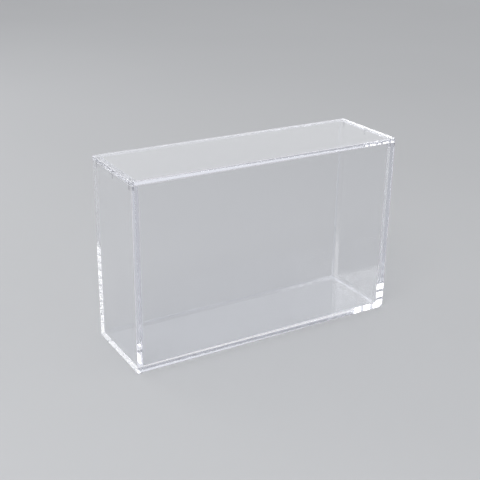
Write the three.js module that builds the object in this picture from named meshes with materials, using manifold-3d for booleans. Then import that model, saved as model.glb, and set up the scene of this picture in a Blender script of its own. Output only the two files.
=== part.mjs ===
// Clear acrylic box for one boxed card deck.
//
// Five flat acrylic panels are cemented edge to edge into an open-topped case, and a sixth panel is
// a loose lid that covers the whole top. Three small magnets stand in drilled holes in the top edge
// of each end panel, and the lid carries a matching magnet above each one.
//
// Millimetres. The origin is the middle of the underside: +X runs along the case, +Y to its back
// and +Z up. The box rests on the undersides of the base and the two end panels.

import * as THREE from 'three';
import { mergeVertices } from 'three/addons/utils/BufferGeometryUtils.js';
import Module from 'manifold-3d';

// Overall size, with the lid on.
const caseLength = 276;
const caseDepth = 83.4;
const caseHeight = 179.5;

// Sheet thicknesses. The end panels are the thicker ones, and hold magnets in their top edges.
const endSheet = 6.35;
const wallSheet = 4.76;
const baseSheet = 4.76;
const lidSheet = 4;

// Magnets: plain rods, standing upright.
const magnetDiameter = 2.5;
const wallMagnetLength = 5;
const lidMagnetLength = 2.5;
const magnetSetback = 7.3; // from the front and back faces to the axis of the corner magnets
const drillClearance = 0.1; // the drilled hole's diameter over the magnet's
const magnetRecess = 0.1; // how far each magnet's pole stops short of the face it is drilled into
const roundSides = 32;

// Places that follow from the sizes.
const wallTop = caseHeight - lidSheet;
const innerLength = caseLength - 2 * endSheet;
const holeDiameter = magnetDiameter + drillClearance;
const sides = [
  { name: 'left', x: -caseLength / 2 + endSheet / 2 },
  { name: 'right', x: caseLength / 2 - endSheet / 2 },
];
const rows = [
  { name: 'front', y: -caseDepth / 2 + magnetSetback },
  { name: 'middle', y: 0 },
  { name: 'back', y: caseDepth / 2 - magnetSetback },
];

const acrylic = new THREE.MeshStandardMaterial({ color: 0xeef3f8, roughness: 0.05, metalness: 0 });
const nickel = new THREE.MeshStandardMaterial({ color: 0xb9bbbe, roughness: 0.25, metalness: 1 });

const wasm = await Module();
wasm.setup();

/** A closed mesh as a solid that can be cut. */
function toSolid(geometry) {
  const bare = geometry.clone();
  bare.deleteAttribute('normal');
  bare.deleteAttribute('uv');
  const merged = mergeVertices(bare);
  const mesh = new wasm.Mesh({
    numProp: 3,
    vertProperties: new Float32Array(merged.attributes.position.array),
    triVerts: new Uint32Array(merged.index.array),
  });
  return new wasm.Manifold(mesh);
}

/** The solid back as a geometry. */
function toGeometry(solid) {
  const mesh = solid.getMesh();
  const geometry = new THREE.BufferGeometry();
  geometry.setAttribute('position', new THREE.BufferAttribute(mesh.vertProperties, 3));
  geometry.setIndex(new THREE.BufferAttribute(mesh.triVerts, 1));
  geometry.computeVertexNormals();
  return geometry;
}

/** A panel that fills the box between two corners. */
function panelGeometry(low, high) {
  const [sizeX, sizeY, sizeZ] = [0, 1, 2].map((axis) => high[axis] - low[axis]);
  const [midX, midY, midZ] = [0, 1, 2].map((axis) => (high[axis] + low[axis]) / 2);
  return new THREE.BoxGeometry(sizeX, sizeY, sizeZ).translate(midX, midY, midZ);
}

/** An upright rod, from its lowest to its highest point. */
function rodGeometry(diameter, x, y, bottom, top) {
  const radius = diameter / 2;
  const rod = new THREE.CylinderGeometry(radius, radius, top - bottom, roundSides);
  return rod.rotateX(Math.PI / 2).translate(x, y, (top + bottom) / 2);
}

/** A panel with a blind hole for each magnet drilled into one of its faces. */
function drilled(panel, places, bottom, top) {
  let solid = toSolid(panel);
  for (const { x, y } of places) {
    solid = solid.subtract(toSolid(rodGeometry(holeDiameter, x, y, bottom, top)));
  }
  return toGeometry(solid);
}

const box = new THREE.Group();
const add = (name, geometry, material) => {
  const mesh = new THREE.Mesh(geometry, material);
  mesh.name = name;
  box.add(mesh);
};

const halfLength = caseLength / 2;
const halfDepth = caseDepth / 2;
const halfInner = innerLength / 2;
const drillOvershoot = 1; // the drill starts this far outside the face, so that the hole is open
const wallHoleFloor = wallTop - magnetRecess - wallMagnetLength;
const lidHoleRoof = wallTop + magnetRecess + lidMagnetLength;

// The base lies between the end panels and runs the full depth, so the long walls stand on it.
const baseLow = [-halfInner, -halfDepth, 0];
const baseHigh = [halfInner, halfDepth, baseSheet];
add('base_panel', panelGeometry(baseLow, baseHigh), acrylic);

// The long walls stand on the base between the end panels.
const frontLow = [-halfInner, -halfDepth, baseSheet];
const frontHigh = [halfInner, -halfDepth + wallSheet, wallTop];
add('front_panel', panelGeometry(frontLow, frontHigh), acrylic);
const backLow = [-halfInner, halfDepth - wallSheet, baseSheet];
const backHigh = [halfInner, halfDepth, wallTop];
add('back_panel', panelGeometry(backLow, backHigh), acrylic);

// The end panels run the full depth and height, and cover the ends of the other three.
for (const side of sides) {
  const places = rows.map((row) => ({ x: side.x, y: row.y }));
  const low = [side.x - endSheet / 2, -halfDepth, 0];
  const high = [side.x + endSheet / 2, halfDepth, wallTop];
  const geometry = drilled(panelGeometry(low, high), places, wallHoleFloor, wallTop + drillOvershoot);
  add(`${side.name}_end_panel`, geometry, acrylic);
}

// The lid covers the whole top and lies on the walls' edges.
const allPlaces = sides.flatMap((side) => rows.map((row) => ({ x: side.x, y: row.y })));
const lidBlank = panelGeometry([-halfLength, -halfDepth, wallTop], [halfLength, halfDepth, caseHeight]);
add('lid_panel', drilled(lidBlank, allPlaces, wallTop - drillOvershoot, lidHoleRoof), acrylic);

// Magnets, each seated on the end of its hole.
for (const side of sides) {
  for (const row of rows) {
    const place = `${side.name}_${row.name}`;
    const wallPole = wallTop - magnetRecess;
    const lidPole = wallTop + magnetRecess;
    const wallRod = rodGeometry(magnetDiameter, side.x, row.y, wallHoleFloor, wallPole);
    const lidRod = rodGeometry(magnetDiameter, side.x, row.y, lidPole, lidHoleRoof);
    add(`wall_magnet_${place}`, wallRod, nickel);
    add(`lid_magnet_${place}`, lidRod, nickel);
  }
}

export default box;
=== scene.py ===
"""Looks for a clear acrylic box that holds one boxed card deck.

Five cemented acrylic panels make the case, a loose sixth panel is the lid, and small nickel plated
magnets stand in drilled holes along both ends. Each panel is cut, arrised and drilled here as a piece
of its own and stands for the frame's panel of the same name. The cemented faces carry a nearly
clear weld finish, so light runs from panel to panel as it does in a bonded box.
"""

from __future__ import annotations

import logging
import math
from dataclasses import dataclass, field
from enum import Enum, IntEnum

import bmesh
import bpy
from mathutils import Matrix, Vector

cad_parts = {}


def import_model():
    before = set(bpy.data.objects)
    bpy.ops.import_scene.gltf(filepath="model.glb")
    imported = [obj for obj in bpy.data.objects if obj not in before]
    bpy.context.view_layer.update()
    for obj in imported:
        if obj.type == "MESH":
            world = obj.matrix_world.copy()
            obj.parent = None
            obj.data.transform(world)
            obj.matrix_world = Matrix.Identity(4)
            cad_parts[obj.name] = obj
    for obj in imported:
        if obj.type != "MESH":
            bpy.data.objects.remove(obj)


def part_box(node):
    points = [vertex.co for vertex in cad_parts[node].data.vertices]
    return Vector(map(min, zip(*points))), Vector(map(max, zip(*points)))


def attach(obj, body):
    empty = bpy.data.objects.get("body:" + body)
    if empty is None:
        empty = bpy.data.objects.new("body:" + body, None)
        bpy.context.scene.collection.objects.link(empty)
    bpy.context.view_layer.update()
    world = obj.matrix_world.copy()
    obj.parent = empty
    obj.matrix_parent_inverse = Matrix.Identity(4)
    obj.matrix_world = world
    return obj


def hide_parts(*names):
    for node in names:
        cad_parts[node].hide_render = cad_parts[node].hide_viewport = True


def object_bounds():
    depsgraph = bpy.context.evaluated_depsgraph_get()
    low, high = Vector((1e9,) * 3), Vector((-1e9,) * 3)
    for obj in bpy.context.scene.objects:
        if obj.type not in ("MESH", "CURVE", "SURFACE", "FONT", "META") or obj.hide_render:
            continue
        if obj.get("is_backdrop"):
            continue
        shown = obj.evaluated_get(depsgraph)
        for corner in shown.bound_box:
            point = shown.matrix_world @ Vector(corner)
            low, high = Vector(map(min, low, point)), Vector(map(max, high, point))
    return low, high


log = logging.getLogger("deck_box")

MM = 0.001
SHARP_TURN = math.radians(30.0)
SAME_PLACE = 0.02 * MM
ACRYLIC_IOR = 1.49

Colour = tuple[float, float, float]


class Body(Enum):
    """The two bodies that pieces ride on."""

    CASE = "case"
    LID = "lid"


class RecordSlot(Enum):
    """Material slots of the part's record."""

    ACRYLIC = "clear_acrylic"
    NICKEL = "nickel_plate"


class Skin(IntEnum):
    """Material slots of a panel, one for each way its surface was made."""

    SHEET = 0
    CUT = 1
    ARRIS = 2
    WELD = 3
    BORE = 4


class Axis(IntEnum):
    """Directions in the part's frame."""

    X = 0
    Y = 1
    Z = 2


# Node helpers


@dataclass
class Tree:
    """A node tree being written, with short calls to add and join nodes."""

    nodes: bpy.types.NodeTree

    def add(self, kind: str, **settings: object) -> bpy.types.Node:
        """Add a node.

        Args:
            kind: The node's type name.
            **settings: Properties of the node to set.

        Returns:
            The new node.
        """
        node = self.nodes.nodes.new(kind)
        for name, value in settings.items():
            setattr(node, name, value)
        return node

    def join(self, source: bpy.types.NodeSocket, target: bpy.types.NodeSocket) -> None:
        """Link an output to an input.

        Args:
            source: The output.
            target: The input.
        """
        self.nodes.links.new(source, target)

    def feed(self, target: bpy.types.NodeSocket, value: object) -> None:
        """Set an input to a plain value, or link it where the value is an output socket.

        Args:
            target: The input.
            value: A number, colour, vector, material or output socket.
        """
        if isinstance(value, bpy.types.NodeSocket):
            self.join(value, target)
        else:
            target.default_value = value

    def math(self, operation: str, *values: object, clamp: bool = False) -> bpy.types.NodeSocket:
        """Add a Math node.

        Args:
            operation: What it does.
            *values: Its inputs in order, as numbers or sockets.
            clamp: Keep the result between 0 and 1.

        Returns:
            Its result.
        """
        node = self.add("ShaderNodeMath", operation=operation, use_clamp=clamp)
        for target, value in zip(node.inputs, values):
            self.feed(target, value)
        return node.outputs[0]

    def spread(
        self, value: object, low: float, high: float, to: tuple[float, float]
    ) -> bpy.types.NodeSocket:
        """Map a value smoothly from one range to another.

        Args:
            value: The value's socket.
            low: Value that becomes the first of the new range.
            high: Value that becomes the last of the new range.
            to: The new range.

        Returns:
            The mapped value.
        """
        node = self.add("ShaderNodeMapRange", interpolation_type="SMOOTHSTEP")
        self.feed(node.inputs["Value"], value)
        node.inputs["From Min"].default_value = low
        node.inputs["From Max"].default_value = high
        node.inputs["To Min"].default_value = to[0]
        node.inputs["To Max"].default_value = to[1]
        return node.outputs["Result"]

    def place(self, scale: Colour = (1.0, 1.0, 1.0), turn: Colour = (0.0, 0.0, 0.0)) -> bpy.types.NodeSocket:
        """Object coordinates, stretched and turned.

        Args:
            scale: Scale along each axis.
            turn: Turn about each axis, in radians.

        Returns:
            The vector output.
        """
        source = self.add("ShaderNodeTexCoord")
        mapping = self.add("ShaderNodeMapping")
        mapping.inputs["Rotation"].default_value = turn
        mapping.inputs["Scale"].default_value = scale
        self.join(source.outputs["Object"], mapping.inputs["Vector"])
        return mapping.outputs["Vector"]

    def noise(self, vector: bpy.types.NodeSocket, scale: float, detail: float = 2.0) -> bpy.types.NodeSocket:
        """Add a noise pattern.

        Args:
            vector: Where it is read.
            scale: Its scale.
            detail: How many finer layers it has.

        Returns:
            Its value, from 0 to 1.
        """
        node = self.add("ShaderNodeTexNoise")
        self.join(vector, node.inputs["Vector"])
        node.inputs["Scale"].default_value = scale
        node.inputs["Detail"].default_value = detail
        return node.outputs["Fac"]


def new_group(name: str, inputs: dict[str, float], outputs: tuple[str, ...]) -> tuple[Tree, dict, dict]:
    """Start a shader node group of plain values.

    Args:
        name: The group's name.
        inputs: Named inputs and their usual values.
        outputs: Named outputs.

    Returns:
        The tree, its inputs as sockets by name, and the sockets that take its outputs by name.
    """
    group = bpy.data.node_groups.new(name, "ShaderNodeTree")
    for label, usual in inputs.items():
        socket = group.interface.new_socket(label, in_out="INPUT", socket_type="NodeSocketFloat")
        socket.default_value = usual
    for label in outputs:
        group.interface.new_socket(label, in_out="OUTPUT", socket_type="NodeSocketFloat")
    tree = Tree(group)
    entry = tree.add("NodeGroupInput")
    leave = tree.add("NodeGroupOutput")
    return tree, dict(entry.outputs.items()), dict(leave.inputs.items())


def handling_marks() -> bpy.types.NodeTree:
    """Fine wiping scratches, specks of dust and the slow waviness of cast sheet.

    Returns:
        A group with inputs Scratches and Dust, and outputs Haze (for roughness) and Wave (for bump).
    """
    name = "handling marks"
    if name in bpy.data.node_groups:
        return bpy.data.node_groups[name]
    tree, given, out = new_group(name, {"Scratches": 1.0, "Dust": 1.0}, ("Haze", "Wave"))
    total = None
    for turn, stretch in ((0.35, 26.0), (1.25, 34.0), (2.3, 30.0)):
        along = tree.place((4.0, 4.0, stretch), (turn, turn * 0.7, turn * 0.4))
        line = tree.noise(along, 42.0, 3.0)
        sharp = tree.spread(line, 0.70, 0.76, (0.0, 1.0))
        total = sharp if total is None else tree.math("MAXIMUM", total, sharp)
    scratches = tree.math("MULTIPLY", total, given["Scratches"])
    specks = tree.add("ShaderNodeTexVoronoi", feature="F1")
    tree.join(tree.place(), specks.inputs["Vector"])
    specks.inputs["Scale"].default_value = 160.0
    near = tree.spread(specks.outputs["Distance"], 0.03, 0.07, (1.0, 0.0))
    patchy = tree.spread(tree.noise(tree.place(), 9.0, 1.0), 0.52, 0.66, (0.0, 1.0))
    dust = tree.math("MULTIPLY", tree.math("MULTIPLY", near, patchy), given["Dust"])
    haze = tree.math("ADD", tree.math("MULTIPLY", scratches, 0.5), dust, clamp=True)
    tree.join(haze, out["Haze"])
    wave = tree.noise(tree.place(), 11.0, 1.0)
    tree.join(wave, out["Wave"])
    return tree.nodes


def tool_lines() -> bpy.types.NodeTree:
    """The marks that a saw and a polishing wheel leave across a cut edge.

    Returns:
        A group with the input Pitch, in radians per metre, and outputs Lines and Burn.
    """
    name = "tool lines"
    if name in bpy.data.node_groups:
        return bpy.data.node_groups[name]
    tree, given, out = new_group(name, {"Pitch": 700.0}, ("Lines", "Burn"))
    source = tree.add("ShaderNodeTexCoord")
    parts = tree.add("ShaderNodeSeparateXYZ")
    tree.join(source.outputs["Object"], parts.inputs[0])
    run = tree.math("ADD", tree.math("ADD", parts.outputs["X"], parts.outputs["Y"]), parts.outputs["Z"])
    wobble = tree.math("MULTIPLY", tree.noise(tree.place(), 60.0, 2.0), 0.004)
    phase = tree.math("MULTIPLY", tree.math("ADD", run, wobble), given["Pitch"])
    ripple = tree.math("MULTIPLY_ADD", tree.math("SINE", phase), 0.5, 0.5)
    uneven = tree.noise(tree.place(), 240.0, 3.0)
    lines = tree.math("MULTIPLY", ripple, uneven)
    tree.join(lines, out["Lines"])
    burn = tree.spread(tree.noise(tree.place(), 34.0, 3.0), 0.45, 0.72, (0.0, 1.0))
    tree.join(burn, out["Burn"])
    return tree.nodes


# Finishes


@dataclass(frozen=True)
class ToolMarks:
    """What a tool leaves on a surface.

    pitch is the lines' phase in radians per metre, burn the roughness that burnt patches add to
    smoothest, depth how far the lines move the surface in metres, and share how much of that shows.
    """

    pitch: float
    burn: float
    smoothest: float
    depth: float
    share: float


@dataclass(frozen=True)
class Finish:
    """A finish that becomes one material."""

    name: str

    def start(self) -> tuple[bpy.types.Material, Tree, bpy.types.Node, bpy.types.Node]:
        """Start the material.

        Returns:
            The material, its tree, its Principled node and its output node.
        """
        material = bpy.data.materials.new(self.name)
        material.use_nodes = True
        tree = Tree(material.node_tree)
        shader = material.node_tree.nodes["Principled BSDF"]
        output = material.node_tree.nodes["Material Output"]
        return material, tree, shader, output

    def bump(
        self, tree: Tree, shader: bpy.types.Node, height: object, depth: float, strength: float
    ) -> None:
        """Give the shader a bump.

        Args:
            tree: The material's tree.
            shader: The node whose normal is set.
            height: The height's socket.
            depth: How far the height moves the surface, in metres.
            strength: Share of the bump that shows.
        """
        node = tree.add("ShaderNodeBump")
        node.inputs["Strength"].default_value = strength
        node.inputs["Distance"].default_value = depth
        tree.join(height, node.inputs["Height"])
        tree.join(node.outputs["Normal"], shader.inputs["Normal"])

    def tool(self, tree: Tree, shader: bpy.types.Node, marks: ToolMarks) -> None:
        """Work the surface with a tool: fine lines as bump, and burnt patches as roughness.

        Args:
            tree: The material's tree.
            shader: The node whose roughness and normal are set.
            marks: What the tool leaves.
        """
        tool = tree.add("ShaderNodeGroup", node_tree=tool_lines())
        tool.inputs["Pitch"].default_value = marks.pitch
        rough = tree.math("MULTIPLY_ADD", tool.outputs["Burn"], marks.burn, marks.smoothest)
        tree.join(rough, shader.inputs["Roughness"])
        self.bump(tree, shader, tool.outputs["Lines"], marks.depth, marks.share)

    def glass(self, shader: bpy.types.Node, tint: Colour) -> None:
        """Set the plain values of clear acrylic.

        Args:
            shader: The Principled node.
            tint: What a surface lets through.
        """
        shader.inputs["Base Color"].default_value = (*tint, 1.0)
        shader.inputs["IOR"].default_value = ACRYLIC_IOR
        shader.inputs["Transmission Weight"].default_value = 1.0
        shader.inputs["Metallic"].default_value = 0.0


@dataclass(frozen=True)
class PolishedSheet(Finish):
    """The glossy faces of cast sheet, with the light marks of handling."""

    name: str = "polished acrylic sheet"
    tint: Colour = (0.985, 0.987, 0.996)
    shade: Colour = (0.962, 0.965, 0.972)
    roughest: float = 0.11
    scratches: float = 0.5
    dust: float = 0.8

    def build(self) -> bpy.types.Material:
        """Returns the material."""
        material, tree, shader, output = self.start()
        self.glass(shader, self.tint)
        marks = tree.add("ShaderNodeGroup", node_tree=handling_marks())
        marks.inputs["Scratches"].default_value = self.scratches
        marks.inputs["Dust"].default_value = self.dust
        haze = tree.math("MULTIPLY", marks.outputs["Haze"], self.roughest)
        tree.join(haze, shader.inputs["Roughness"])
        self.bump(tree, shader, marks.outputs["Wave"], 0.4 * MM, 0.05)
        path = tree.add("ShaderNodeLightPath")
        passing = tree.math("MAXIMUM", path.outputs["Is Shadow Ray"], path.outputs["Is Diffuse Ray"])
        clear = tree.add("ShaderNodeBsdfTransparent")
        clear.inputs["Color"].default_value = (*self.shade, 1.0)
        mix = tree.add("ShaderNodeMixShader")
        tree.join(passing, mix.inputs[0])
        tree.join(shader.outputs[0], mix.inputs[1])
        tree.join(clear.outputs[0], mix.inputs[2])
        tree.join(mix.outputs[0], output.inputs["Surface"])
        return material


@dataclass(frozen=True)
class CutEdge(Finish):
    """A sawn edge after the polishing wheel: glossy, with fine lines left across it."""

    name: str = "polished cut edge"
    tint: Colour = (0.93, 0.94, 1.0)
    marks: ToolMarks = ToolMarks(pitch=2600.0, burn=0.05, smoothest=0.015, depth=0.02 * MM, share=0.06)

    def build(self) -> bpy.types.Material:
        """Returns the material."""
        material, tree, shader, _ = self.start()
        self.glass(shader, self.tint)
        self.tool(tree, shader, self.marks)
        return material


@dataclass(frozen=True)
class ScrapedArris(Finish):
    """The narrow scraped flat along a sharp edge, frosted white so that it catches light."""

    name: str = "scraped arris"
    tint: Colour = (0.965, 0.965, 1.0)
    clear_share: float = 0.55
    marks: ToolMarks = ToolMarks(pitch=4200.0, burn=0.15, smoothest=0.35, depth=0.03 * MM, share=0.4)

    def build(self) -> bpy.types.Material:
        """Returns the material."""
        material, tree, shader, _ = self.start()
        self.glass(shader, self.tint)
        shader.inputs["Transmission Weight"].default_value = self.clear_share
        self.tool(tree, shader, self.marks)
        return material


@dataclass(frozen=True)
class SolventWeld(Finish):
    """A cemented joint: clear, but for stray bubbles and faint dry streaks."""

    name: str = "solvent weld"
    tint: Colour = (0.9, 0.91, 0.95)
    film: float = 0.02
    bubble_scale: float = 420.0
    bubble_share: float = 0.7
    streak_share: float = 0.22

    def build(self) -> bpy.types.Material:
        """Returns the material."""
        material, tree, shader, _ = self.start()
        shader.inputs["Base Color"].default_value = (*self.tint, 1.0)
        bubbles = tree.add("ShaderNodeTexVoronoi", feature="F1")
        tree.join(tree.place(), bubbles.inputs["Vector"])
        bubbles.inputs["Scale"].default_value = self.bubble_scale
        dot = tree.spread(bubbles.outputs["Distance"], 0.10, 0.20, (1.0, 0.0))
        where = tree.spread(tree.noise(tree.place(), 46.0, 2.0), 0.46, 0.60, (0.0, 1.0))
        drawn = tree.noise(tree.place((1.0, 1.0, 3.0)), 120.0, 3.0)
        streak = tree.spread(drawn, 0.55, 0.72, (0.0, self.streak_share))
        spots = tree.math("MULTIPLY", tree.math("MULTIPLY", dot, where), self.bubble_share)
        alpha = tree.math("ADD", tree.math("ADD", spots, streak), self.film, clamp=True)
        tree.join(alpha, shader.inputs["Alpha"])
        rough = tree.math("MULTIPLY_ADD", where, 0.2, 0.25)
        tree.join(rough, shader.inputs["Roughness"])
        return material


@dataclass(frozen=True)
class DrilledBore(Finish):
    """The frosted wall that a drill leaves in acrylic."""

    name: str = "drilled bore"
    tint: Colour = (0.92, 0.93, 0.97)
    marks: ToolMarks = ToolMarks(pitch=9000.0, burn=0.12, smoothest=0.22, depth=0.04 * MM, share=0.5)

    def build(self) -> bpy.types.Material:
        """Returns the material."""
        material, tree, shader, _ = self.start()
        self.glass(shader, self.tint)
        self.tool(tree, shader, self.marks)
        return material


@dataclass(frozen=True)
class NickelPlate(Finish):
    """Bright nickel plating on a pressed magnet, dulled and roughened in fine random patches."""

    name: str = "nickel plated magnet"
    bright: Colour = (0.83, 0.82, 0.81)
    dull: Colour = (0.60, 0.595, 0.60)

    def build(self) -> bpy.types.Material:
        """Returns the material."""
        material, tree, shader, _ = self.start()
        shader.inputs["Metallic"].default_value = 1.0
        stain = tree.spread(tree.noise(tree.place(), 900.0, 4.0), 0.40, 0.68, (0.0, 1.0))
        colour = tree.add("ShaderNodeMix", data_type="RGBA")
        tree.join(stain, colour.inputs["Factor"])
        colour.inputs["A"].default_value = (*self.bright, 1.0)
        colour.inputs["B"].default_value = (*self.dull, 1.0)
        tree.join(colour.outputs["Result"], shader.inputs["Base Color"])
        rough = tree.math("MULTIPLY_ADD", stain, 0.16, 0.20)
        tree.join(rough, shader.inputs["Roughness"])
        self.bump(tree, shader, tree.noise(tree.place(), 2600.0, 3.0), 0.03 * MM, 0.3)
        return material


@dataclass(frozen=True)
class MattPaper(Finish):
    """The pale studio paper under the box."""

    name: str = "pale studio paper"
    light: Colour = (0.56, 0.565, 0.575)
    dark: Colour = (0.535, 0.54, 0.55)

    def build(self) -> bpy.types.Material:
        """Returns the material."""
        material, tree, shader, _ = self.start()
        cloud = tree.noise(tree.place(), 2.2, 2.0)
        colour = tree.add("ShaderNodeMix", data_type="RGBA")
        tree.join(cloud, colour.inputs["Factor"])
        colour.inputs["A"].default_value = (*self.light, 1.0)
        colour.inputs["B"].default_value = (*self.dark, 1.0)
        tree.join(colour.outputs["Result"], shader.inputs["Base Color"])
        shader.inputs["Roughness"].default_value = 0.7
        shader.inputs["Specular IOR Level"].default_value = 0.25
        self.bump(tree, shader, tree.noise(tree.place(), 700.0, 2.0), 0.1 * MM, 0.1)
        return material


@dataclass(frozen=True)
class AcrylicSkins:
    """The five finishes of an acrylic panel, built once and shared by all six."""

    sheet: PolishedSheet = PolishedSheet()
    cut: CutEdge = CutEdge()
    arris: ScrapedArris = ScrapedArris()
    weld: SolventWeld = SolventWeld()
    bore: DrilledBore = DrilledBore()

    def build(self) -> dict[Skin, bpy.types.Material]:
        """Returns the material for each way a panel's surface was made."""
        return {
            Skin.SHEET: self.sheet.build(),
            Skin.CUT: self.cut.build(),
            Skin.ARRIS: self.arris.build(),
            Skin.WELD: self.weld.build(),
            Skin.BORE: self.bore.build(),
        }


# Meshes


def plain_mesh(source: bpy.types.Object, name: str) -> bpy.types.Object:
    """Turn an object with live modifiers into a plain mesh object and remove the first.

    Args:
        source: The object with modifiers.
        name: The plain object's name.

    Returns:
        The plain object, at the origin.
    """
    bpy.context.view_layer.update()
    graph = bpy.context.evaluated_depsgraph_get()
    final = source.evaluated_get(graph)
    mesh = bpy.data.meshes.new_from_object(final, preserve_all_data_layers=True, depsgraph=graph)
    mesh.name = name
    bpy.data.objects.remove(source)
    piece = bpy.data.objects.new(name, mesh)
    bpy.context.scene.collection.objects.link(piece)
    return piece


@dataclass(frozen=True)
class Span:
    """A box between two corners, in metres."""

    low: Vector
    high: Vector

    @classmethod
    def of_node(cls, node: str) -> Span:
        """Returns the span of a frame node."""
        low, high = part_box(node)
        return cls(low, high)

    @classmethod
    def around(cls, spans: list[Span]) -> Span:
        """Returns the span that holds all of several."""
        low = Vector(min(span.low[axis] for span in spans) for axis in Axis)
        high = Vector(max(span.high[axis] for span in spans) for axis in Axis)
        return cls(low, high)

    @property
    def middle(self) -> Vector:
        """The span's middle."""
        return (self.low + self.high) / 2

    def thin_axis(self) -> Axis:
        """Returns the axis across the sheet."""
        size = self.high - self.low
        return min(Axis, key=lambda axis: size[axis])

    def contact(self, other: Span) -> Contact | None:
        """Find where this span's surface lies against another's.

        Args:
            other: The other span.

        Returns:
            The shared rectangle, or None.
        """
        for axis in Axis:
            for mine, theirs in ((self.high[axis], other.low[axis]), (self.low[axis], other.high[axis])):
                if abs(mine - theirs) > SAME_PLACE:
                    continue
                low = Vector(max(self.low[a], other.low[a]) for a in Axis)
                high = Vector(min(self.high[a], other.high[a]) for a in Axis)
                across = [a for a in Axis if a != axis]
                if all(high[a] - low[a] > SAME_PLACE for a in across):
                    return Contact(axis, mine, low, high)
        return None


@dataclass(frozen=True)
class Contact:
    """A rectangle where two panels are cemented together."""

    axis: Axis
    plane: float
    low: Vector
    high: Vector

    def covers(self, point: Vector) -> bool:
        """Returns whether a point of the surface is cemented."""
        if abs(point[self.axis] - self.plane) > SAME_PLACE:
            return False
        across = [a for a in Axis if a != self.axis]
        return all(self.low[a] - SAME_PLACE < point[a] < self.high[a] + SAME_PLACE for a in across)


@dataclass
class Panel:
    """One rectangular acrylic panel, cut to the frame's size."""

    name: str
    body: Body
    span: Span
    outline: Span
    arris: float = 0.4 * MM
    seam_share: float = 0.25
    arris_steps: int = 2
    contacts: list[Contact] = field(default_factory=list)

    def cement(self, others: list[Panel]) -> None:
        """Note where this panel is cemented to its neighbours.

        Args:
            others: The other panels of the same body.
        """
        for other in others:
            found = self.span.contact(other.span) if other is not self else None
            if found is not None:
                self.contacts.append(found)

    def stops(self, axis: Axis) -> list[float]:
        """Returns the places along an axis where the surface is divided, ends included."""
        places = [self.span.low[axis], self.span.high[axis]]
        for contact in self.contacts:
            if contact.axis == axis:
                continue
            for place in (contact.low[axis], contact.high[axis]):
                if all(abs(place - known) > SAME_PLACE for known in places):
                    places.append(place)
        return sorted(places)

    def blank(self) -> bpy.types.Mesh:
        """Make the panel's surface with its skins and the width of each arris.

        Returns:
            A closed mesh with skins as material indices and arris widths as bevel weights.
        """
        stops = [self.stops(axis) for axis in Axis]
        mesh = bpy.data.meshes.new(self.name)
        work = bmesh.new()
        corners: dict[tuple[int, int, int], bmesh.types.BMVert] = {}

        def corner(place: tuple[int, int, int]) -> bmesh.types.BMVert:
            """Returns the shared corner at a place in the grid."""
            if place not in corners:
                corners[place] = work.verts.new([stops[axis][place[axis]] for axis in Axis])
            return corners[place]

        for axis in Axis:
            first, second = [a for a in Axis if a != axis]
            for end in (0, len(stops[axis]) - 1):
                for i in range(len(stops[first]) - 1):
                    for j in range(len(stops[second]) - 1):
                        ring = []
                        for di, dj in ((0, 0), (1, 0), (1, 1), (0, 1)):
                            place = [0, 0, 0]
                            place[axis] = end
                            place[first] = i + di
                            place[second] = j + dj
                            ring.append(corner(tuple(place)))
                        work.faces.new(ring)
        bmesh.ops.recalc_face_normals(work, faces=work.faces)
        for face in work.faces:
            face.material_index = self.skin_of(face)
        self.weigh(work)
        work.to_mesh(mesh)
        work.free()
        return mesh

    def skin_of(self, face: bmesh.types.BMFace) -> Skin:
        """Returns how a face of the blank was made."""
        middle = face.calc_center_median()
        if any(contact.covers(middle) for contact in self.contacts):
            return Skin.WELD
        across = self.span.thin_axis()
        return Skin.SHEET if abs(face.normal[across]) > 0.5 else Skin.CUT

    def weigh(self, work: bmesh.types.BMesh) -> None:
        """Give each sharp edge its share of the arris width.

        Args:
            work: The blank.
        """
        weights = work.edges.layers.float.new("bevel_weight_edge")
        for edge in work.edges:
            one, two = edge.link_faces
            if abs(one.normal.dot(two.normal)) > 0.5:
                continue
            welded = [face for face in (one, two) if face.material_index == Skin.WELD]
            if len(welded) == 2:
                continue
            middle = (edge.verts[0].co + edge.verts[1].co) / 2
            edge[weights] = 1.0 if not welded and self.outermost(middle) else self.seam_share

    def outermost(self, point: Vector) -> bool:
        """Returns whether a point lies on an outer edge of the body's outline."""
        flush = 0
        for axis in Axis:
            at = point[axis]
            if min(abs(at - self.outline.low[axis]), abs(at - self.outline.high[axis])) < SAME_PLACE:
                flush += 1
        return flush >= 2

    def build(
        self, skins: dict[Skin, bpy.types.Material], drill: bpy.types.Object | None
    ) -> bpy.types.Object:
        """Cut, arris and drill the panel, and set it on its body.

        Args:
            skins: The panel's finishes.
            drill: The rods that are drilled out, or None.

        Returns:
            The finished piece.
        """
        draft = bpy.data.objects.new(f"{self.name}_draft", self.blank())
        bpy.context.scene.collection.objects.link(draft)
        for skin in Skin:
            draft.data.materials.append(skins[skin])
        arris = draft.modifiers.new("arris", "BEVEL")
        arris.limit_method = "WEIGHT"
        arris.width = self.arris
        arris.segments = self.arris_steps
        arris.material = Skin.ARRIS
        arris.offset_type = "OFFSET"
        if drill is not None:
            holes = draft.modifiers.new("holes", "BOOLEAN")
            holes.operation = "DIFFERENCE"
            holes.solver = "EXACT"
            holes.material_mode = "TRANSFER"
            holes.object = drill
        piece = plain_mesh(draft, f"{self.name}_clear")
        for polygon in piece.data.polygons:
            polygon.use_smooth = False
        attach(piece, self.body.value)
        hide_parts(self.name)
        log.info("%s: %d faces on %s", piece.name, len(piece.data.polygons), self.body.value)
        return piece


# Magnets and the holes they stand in


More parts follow.
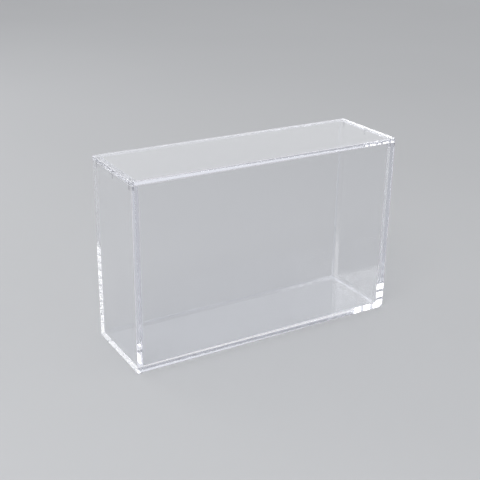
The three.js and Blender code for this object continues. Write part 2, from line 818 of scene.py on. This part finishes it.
@dataclass(frozen=True)
class RodRows:
    """Upright rods in two rows of three, one row in each end of the box."""

    diameter: float
    length: float
    base: float
    spread_x: float
    spread_y: float
    chamfer: float
    sides: int = 40
    per_end: int = 3

    @staticmethod
    def tree() -> bpy.types.NodeTree:
        """Write the node tree that makes the rods, or return the one already written.

        Returns:
            A geometry node group with a named input for each size.
        """
        name = "upright rods"
        if name in bpy.data.node_groups:
            return bpy.data.node_groups[name]
        group = bpy.data.node_groups.new(name, "GeometryNodeTree")
        face = group.interface
        face.new_socket("Geometry", in_out="INPUT", socket_type="NodeSocketGeometry")
        for label in ("Diameter", "Length", "Base", "Spread X", "Spread Y", "Chamfer"):
            face.new_socket(label, in_out="INPUT", socket_type="NodeSocketFloat")
        for label in ("Sides", "Per End"):
            face.new_socket(label, in_out="INPUT", socket_type="NodeSocketInt")
        face.new_socket("Finish", in_out="INPUT", socket_type="NodeSocketMaterial")
        face.new_socket("Geometry", in_out="OUTPUT", socket_type="NodeSocketGeometry")
        tree = Tree(group)
        given = tree.add("NodeGroupInput").outputs
        leave = tree.add("NodeGroupOutput")

        line = tree.add("GeometryNodeCurvePrimitiveLine")
        points = tree.add("GeometryNodeResampleCurve")
        points.inputs["Count"].default_value = 4
        tree.join(line.outputs["Curve"], points.inputs["Curve"])
        index = tree.add("GeometryNodeInputIndex")
        shoulder = tree.math("SUBTRACT", given["Length"], given["Chamfer"])
        heights = tree.add("GeometryNodeIndexSwitch", data_type="FLOAT")
        radii = tree.add("GeometryNodeIndexSwitch", data_type="FLOAT")
        for switch in (heights, radii):
            switch.index_switch_items.new()
            switch.index_switch_items.new()
            tree.join(index.outputs[0], switch.inputs["Index"])
        full = tree.math("MULTIPLY", given["Diameter"], 0.5)
        tip = tree.math("SUBTRACT", full, given["Chamfer"])
        for slot, value in enumerate((0.0, given["Chamfer"], shoulder, given["Length"])):
            tree.feed(heights.inputs[str(slot)], value)
        for slot, value in enumerate((tip, full, full, tip)):
            tree.feed(radii.inputs[str(slot)], value)
        height = tree.add("ShaderNodeCombineXYZ")
        tree.join(heights.outputs[0], height.inputs["Z"])
        stand = tree.add("GeometryNodeSetPosition")
        tree.join(points.outputs["Curve"], stand.inputs["Geometry"])
        tree.join(height.outputs[0], stand.inputs["Position"])
        ring = tree.add("GeometryNodeCurvePrimitiveCircle")
        ring.inputs["Radius"].default_value = 1.0
        tree.join(given["Sides"], ring.inputs["Resolution"])
        sweep = tree.add("GeometryNodeCurveToMesh")
        sweep.inputs["Fill Caps"].default_value = True
        tree.join(stand.outputs["Geometry"], sweep.inputs["Curve"])
        tree.join(radii.outputs[0], sweep.inputs["Scale"])
        tree.join(ring.outputs["Curve"], sweep.inputs["Profile Curve"])

        grid = tree.add("GeometryNodeMeshGrid")
        grid.inputs["Vertices X"].default_value = 2
        tree.join(given["Spread X"], grid.inputs["Size X"])
        tree.join(given["Spread Y"], grid.inputs["Size Y"])
        tree.join(given["Per End"], grid.inputs["Vertices Y"])
        spots = tree.add("GeometryNodeInstanceOnPoints")
        tree.join(grid.outputs["Mesh"], spots.inputs["Points"])
        tree.join(sweep.outputs["Mesh"], spots.inputs["Instance"])
        lift = tree.add("ShaderNodeCombineXYZ")
        tree.join(given["Base"], lift.inputs["Z"])
        raised = tree.add("GeometryNodeTransform")
        tree.join(spots.outputs["Instances"], raised.inputs["Geometry"])
        tree.join(lift.outputs[0], raised.inputs["Translation"])
        real = tree.add("GeometryNodeRealizeInstances")
        tree.join(raised.outputs["Geometry"], real.inputs["Geometry"])
        dress = tree.add("GeometryNodeSetMaterial")
        tree.join(real.outputs["Geometry"], dress.inputs["Geometry"])
        tree.join(given["Finish"], dress.inputs["Material"])
        tree.join(dress.outputs["Geometry"], leave.inputs["Geometry"])
        return group

    def build(self, name: str, finish: bpy.types.Material) -> bpy.types.Object:
        """Make the rods as one plain mesh.

        Args:
            name: The object's name.
            finish: Its material.

        Returns:
            The object, with its place in its mesh.
        """
        holder = bpy.data.objects.new(f"{name}_draft", bpy.data.meshes.new(f"{name}_draft"))
        rods = holder.modifiers.new("rods", "NODES")
        rods.node_group = self.tree()
        sizes = {
            "Diameter": self.diameter,
            "Length": self.length,
            "Base": self.base,
            "Spread X": self.spread_x,
            "Spread Y": self.spread_y,
            "Chamfer": self.chamfer,
            "Sides": self.sides,
            "Per End": self.per_end,
            "Finish": finish,
        }
        for item in rods.node_group.interface.items_tree:
            if item.in_out == "INPUT" and item.name in sizes:
                rods[item.identifier] = sizes[item.name]
        bpy.context.scene.collection.objects.link(holder)
        piece = plain_mesh(holder, name)
        piece.data.materials.clear()
        piece.data.materials.append(finish)
        work = bmesh.new()
        work.from_mesh(piece.data)
        bmesh.ops.remove_doubles(work, verts=work.verts, dist=0.001 * MM)
        bmesh.ops.recalc_face_normals(work, faces=work.faces)
        for polygon in work.faces:
            polygon.smooth = len(polygon.verts) == 4
            polygon.material_index = 0
        for edge in work.edges:
            edge.smooth = len(edge.link_faces) == 2 and edge.calc_face_angle(0.0) < SHARP_TURN
        work.to_mesh(piece.data)
        work.free()
        return piece


@dataclass
class MagnetSet:
    """The six magnets of one body, and the holes drilled for them."""

    body: Body
    chamfer: float = 0.22 * MM
    clearance: float = 0.1 * MM
    overshoot: float = 1.0 * MM
    seat_gap: float = 0.03 * MM
    hole_chamfer: float = 0.01 * MM
    nodes: list[str] = field(default_factory=list)

    def __post_init__(self) -> None:
        """Find the body's magnets in the frame."""
        stem = "wall_magnet" if self.body is Body.CASE else "lid_magnet"
        for side in ("left", "right"):
            for row in ("front", "middle", "back"):
                self.nodes.append(f"{stem}_{side}_{row}")

    def rods(self) -> RodRows:
        """Returns the magnets' sizes and places, from the frame."""
        spans = [Span.of_node(node) for node in self.nodes]
        first = spans[0]
        diameter = first.high.y - first.low.y
        rows = [span.middle.y for span in spans]
        ends = [span.middle.x for span in spans]
        return RodRows(
            diameter=diameter,
            length=first.high.z - first.low.z,
            base=first.low.z,
            spread_x=max(ends) - min(ends),
            spread_y=max(rows) - min(rows),
            chamfer=self.chamfer,
        )

    def drill(self, finish: bpy.types.Material) -> bpy.types.Object:
        """Make the rods that are drilled out of the acrylic.

        Args:
            finish: The material of the holes' walls.

        Returns:
            An object for a boolean, which the caller removes.
        """
        rods = self.rods()
        below = self.seat_gap if self.body is Body.CASE else self.overshoot
        holes = RodRows(
            diameter=rods.diameter + self.clearance,
            length=rods.length + self.overshoot + self.seat_gap,
            base=rods.base - below,
            spread_x=rods.spread_x,
            spread_y=rods.spread_y,
            chamfer=self.hole_chamfer,
        )
        return holes.build(f"{self.body.value}_drill", finish)

    def build(self, finish: bpy.types.Material) -> bpy.types.Object:
        """Make the magnets and set them on their body.

        Args:
            finish: Their material.

        Returns:
            One piece with all six magnets.
        """
        piece = self.rods().build(f"{self.body.value}_magnets", finish)
        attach(piece, self.body.value)
        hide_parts(*self.nodes)
        log.info("%s: %d faces on %s", piece.name, len(piece.data.polygons), self.body.value)
        return piece


# Sub-assemblies


@dataclass
class AcrylicBody:
    """A body of the box: its panels, its magnets and the holes for them."""

    body: Body
    panel_names: tuple[str, ...]
    drilled_names: tuple[str, ...]
    air_film: float = 0.0

    def panels(self) -> list[Panel]:
        """Returns the body's panels, with the faces where they are cemented together."""
        film = Vector((0.0, 0.0, self.air_film))
        spans = {}
        for name in self.panel_names:
            whole = Span.of_node(name)
            spans[name] = Span(whole.low + film, whole.high)
        outline = Span.around(list(spans.values()))
        made = [Panel(name, self.body, span, outline) for name, span in spans.items()]
        for panel in made:
            panel.cement(made)
        return made

    def build(self, skins: dict[Skin, bpy.types.Material], nickel: bpy.types.Material) -> None:
        """Build the panels and magnets.

        Args:
            skins: The acrylic's finishes.
            nickel: The magnets' finish.
        """
        magnets = MagnetSet(self.body)
        drill = magnets.drill(skins[Skin.BORE])
        for panel in self.panels():
            panel.build(skins, drill if panel.name in self.drilled_names else None)
        bpy.data.objects.remove(drill)
        magnets.build(nickel)


def case() -> AcrylicBody:
    """Returns the open-topped case."""
    ends = ("left_end_panel", "right_end_panel")
    return AcrylicBody(Body.CASE, ("base_panel", "front_panel", "back_panel", *ends), ends)


def lid() -> AcrylicBody:
    """Returns the loose lid, which a film of air parts from the walls that it lies on."""
    return AcrylicBody(Body.LID, ("lid_panel",), ("lid_panel",), air_film=0.05 * MM)


# Studio


@dataclass(frozen=True)
class Softbox:
    """A soft area light that faces the box."""

    name: str
    towards: Colour
    distance: float
    width: float
    height: float
    radiance: float
    colour: Colour = (1.0, 1.0, 1.0)

    def build(self, aim: Vector) -> None:
        """Place the light.

        Args:
            aim: The point it faces.
        """
        lamp = bpy.data.lights.new(self.name, "AREA")
        lamp.shape = "RECTANGLE"
        lamp.size = self.width
        lamp.size_y = self.height
        lamp.energy = self.radiance * math.pi * self.width * self.height
        lamp.color = self.colour
        holder = bpy.data.objects.new(self.name, lamp)
        bpy.context.scene.collection.objects.link(holder)
        way = Vector(self.towards).normalized()
        holder.location = aim + way * self.distance
        holder.rotation_mode = "QUATERNION"
        holder.rotation_quaternion = way.to_track_quat("Z", "Y")


@dataclass(frozen=True)
class Viewpoint:
    """Where the camera stands, as angles about an aim point and multiples of the box's length."""

    azimuth: float = -30.985
    elevation: float = 22.373
    roll: float = 0.877
    distance: float = 3.12729
    aim_x: float = -0.03277
    aim_z: float = 0.3185
    lens: float = 67.75

    def build(self, length: float) -> None:
        """Place the camera.

        Args:
            length: The box's length in metres.
        """
        azimuth, elevation, roll = (math.radians(a) for a in (self.azimuth, self.elevation, self.roll))
        level = math.cos(elevation)
        back = Vector((math.sin(azimuth) * level, -math.cos(azimuth) * level, math.sin(elevation)))
        aim = Vector((self.aim_x, 0.0, self.aim_z)) * length
        right = (-back).cross(Vector((0.0, 0.0, 1.0))).normalized()
        up = right.cross(-back)
        across = right * math.cos(roll) + up * math.sin(roll)
        upright = up * math.cos(roll) - right * math.sin(roll)
        data = bpy.data.cameras.new("camera")
        data.lens = self.lens
        data.sensor_width = 36.0
        camera = bpy.data.objects.new("camera", data)
        bpy.context.scene.collection.objects.link(camera)
        turn = Matrix((across, upright, back)).transposed().to_4x4()
        camera.matrix_world = Matrix.Translation(aim + back * self.distance * length) @ turn
        bpy.context.scene.camera = camera


@dataclass
class Studio:
    """Pale floor, soft lights, a plain surround and the camera."""

    floor_radius: float = 6.0
    air_gap: float = 0.3 * MM
    horizon: float = 0.45
    belt: float = 1.1
    overhead: float = 0.5
    far_side: float = 0.8
    turns_in_acrylic: int = 96
    lights: tuple[Softbox, ...] = (
        Softbox("key softbox", (-0.45, -0.35, 0.82), 1.7, 0.6, 0.6, 7.0),
        Softbox("back left softbox", (-0.476, 0.793, 0.42), 1.7, 0.8, 0.55, 3.2),
        Softbox("camera side softbox", (-0.476, -0.793, 0.42), 1.9, 0.6, 0.45, 3.0),
    )
    view: Viewpoint = Viewpoint()

    def floor(self) -> None:
        """Lay the floor."""
        mesh = bpy.data.meshes.new("floor")
        work = bmesh.new()
        bmesh.ops.create_circle(work, cap_ends=True, segments=96, radius=self.floor_radius)
        bmesh.ops.translate(work, verts=work.verts, vec=(0.0, 0.0, -self.air_gap))
        work.to_mesh(mesh)
        work.free()
        mesh.materials.append(MattPaper().build())
        floor = bpy.data.objects.new("floor", mesh)
        bpy.context.scene.collection.objects.link(floor)
        floor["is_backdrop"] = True

    def surround(self) -> None:
        """Light the world: pale at the horizon, a bright belt above it and soft light overhead."""
        world = bpy.data.worlds.new("studio surround")
        bpy.context.scene.world = world
        world.use_nodes = True
        tree = Tree(world.node_tree)
        background = world.node_tree.nodes["Background"]
        background.inputs["Color"].default_value = (0.97, 0.98, 1.0, 1.0)
        way = tree.add("ShaderNodeTexCoord")
        parts = tree.add("ShaderNodeSeparateXYZ")
        tree.join(way.outputs["Generated"], parts.inputs[0])
        height = parts.outputs["Z"]
        low = tree.spread(height, 0.10, 0.27, (self.horizon, self.belt))
        high = tree.spread(height, 0.52, 0.80, (0.0, self.overhead - self.belt))
        across = tree.math("ADD", tree.math("MULTIPLY", parts.outputs["X"], 0.6), parts.outputs["Y"])
        far = tree.spread(across, 0.45, 0.95, (1.0, self.far_side))
        tree.join(tree.math("MULTIPLY", tree.math("ADD", low, high), far), background.inputs["Strength"])

    def render_depth(self) -> None:
        """Let light take the many turns that it takes inside bonded acrylic."""
        settings = bpy.context.scene.cycles
        settings.max_bounces = self.turns_in_acrylic
        settings.transmission_bounces = self.turns_in_acrylic
        settings.glossy_bounces = self.turns_in_acrylic
        settings.diffuse_bounces = 3
        settings.transparent_max_bounces = self.turns_in_acrylic
        settings.sample_clamp_indirect = 12.0
        bpy.context.scene.view_settings.view_transform = "Standard"

    def build(self, box: Span) -> None:
        """Set up the studio round the box.

        Args:
            box: The box's span.
        """
        self.floor()
        self.surround()
        for light in self.lights:
            light.build(box.middle)
        self.view.build(box.high.x - box.low.x)
        self.render_depth()
        log.info("studio: %d softboxes", len(self.lights))


def main() -> None:
    """Build the object and its studio in order."""
    logging.basicConfig(level=logging.INFO, format="%(name)s: %(message)s")
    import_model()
    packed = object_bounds()
    skins = AcrylicSkins().build()
    nickel = NickelPlate().build()
    for part in (case(), lid()):
        part.build(skins, nickel)
    Studio().build(Span(*packed))


if __name__ == "__main__":
    main()
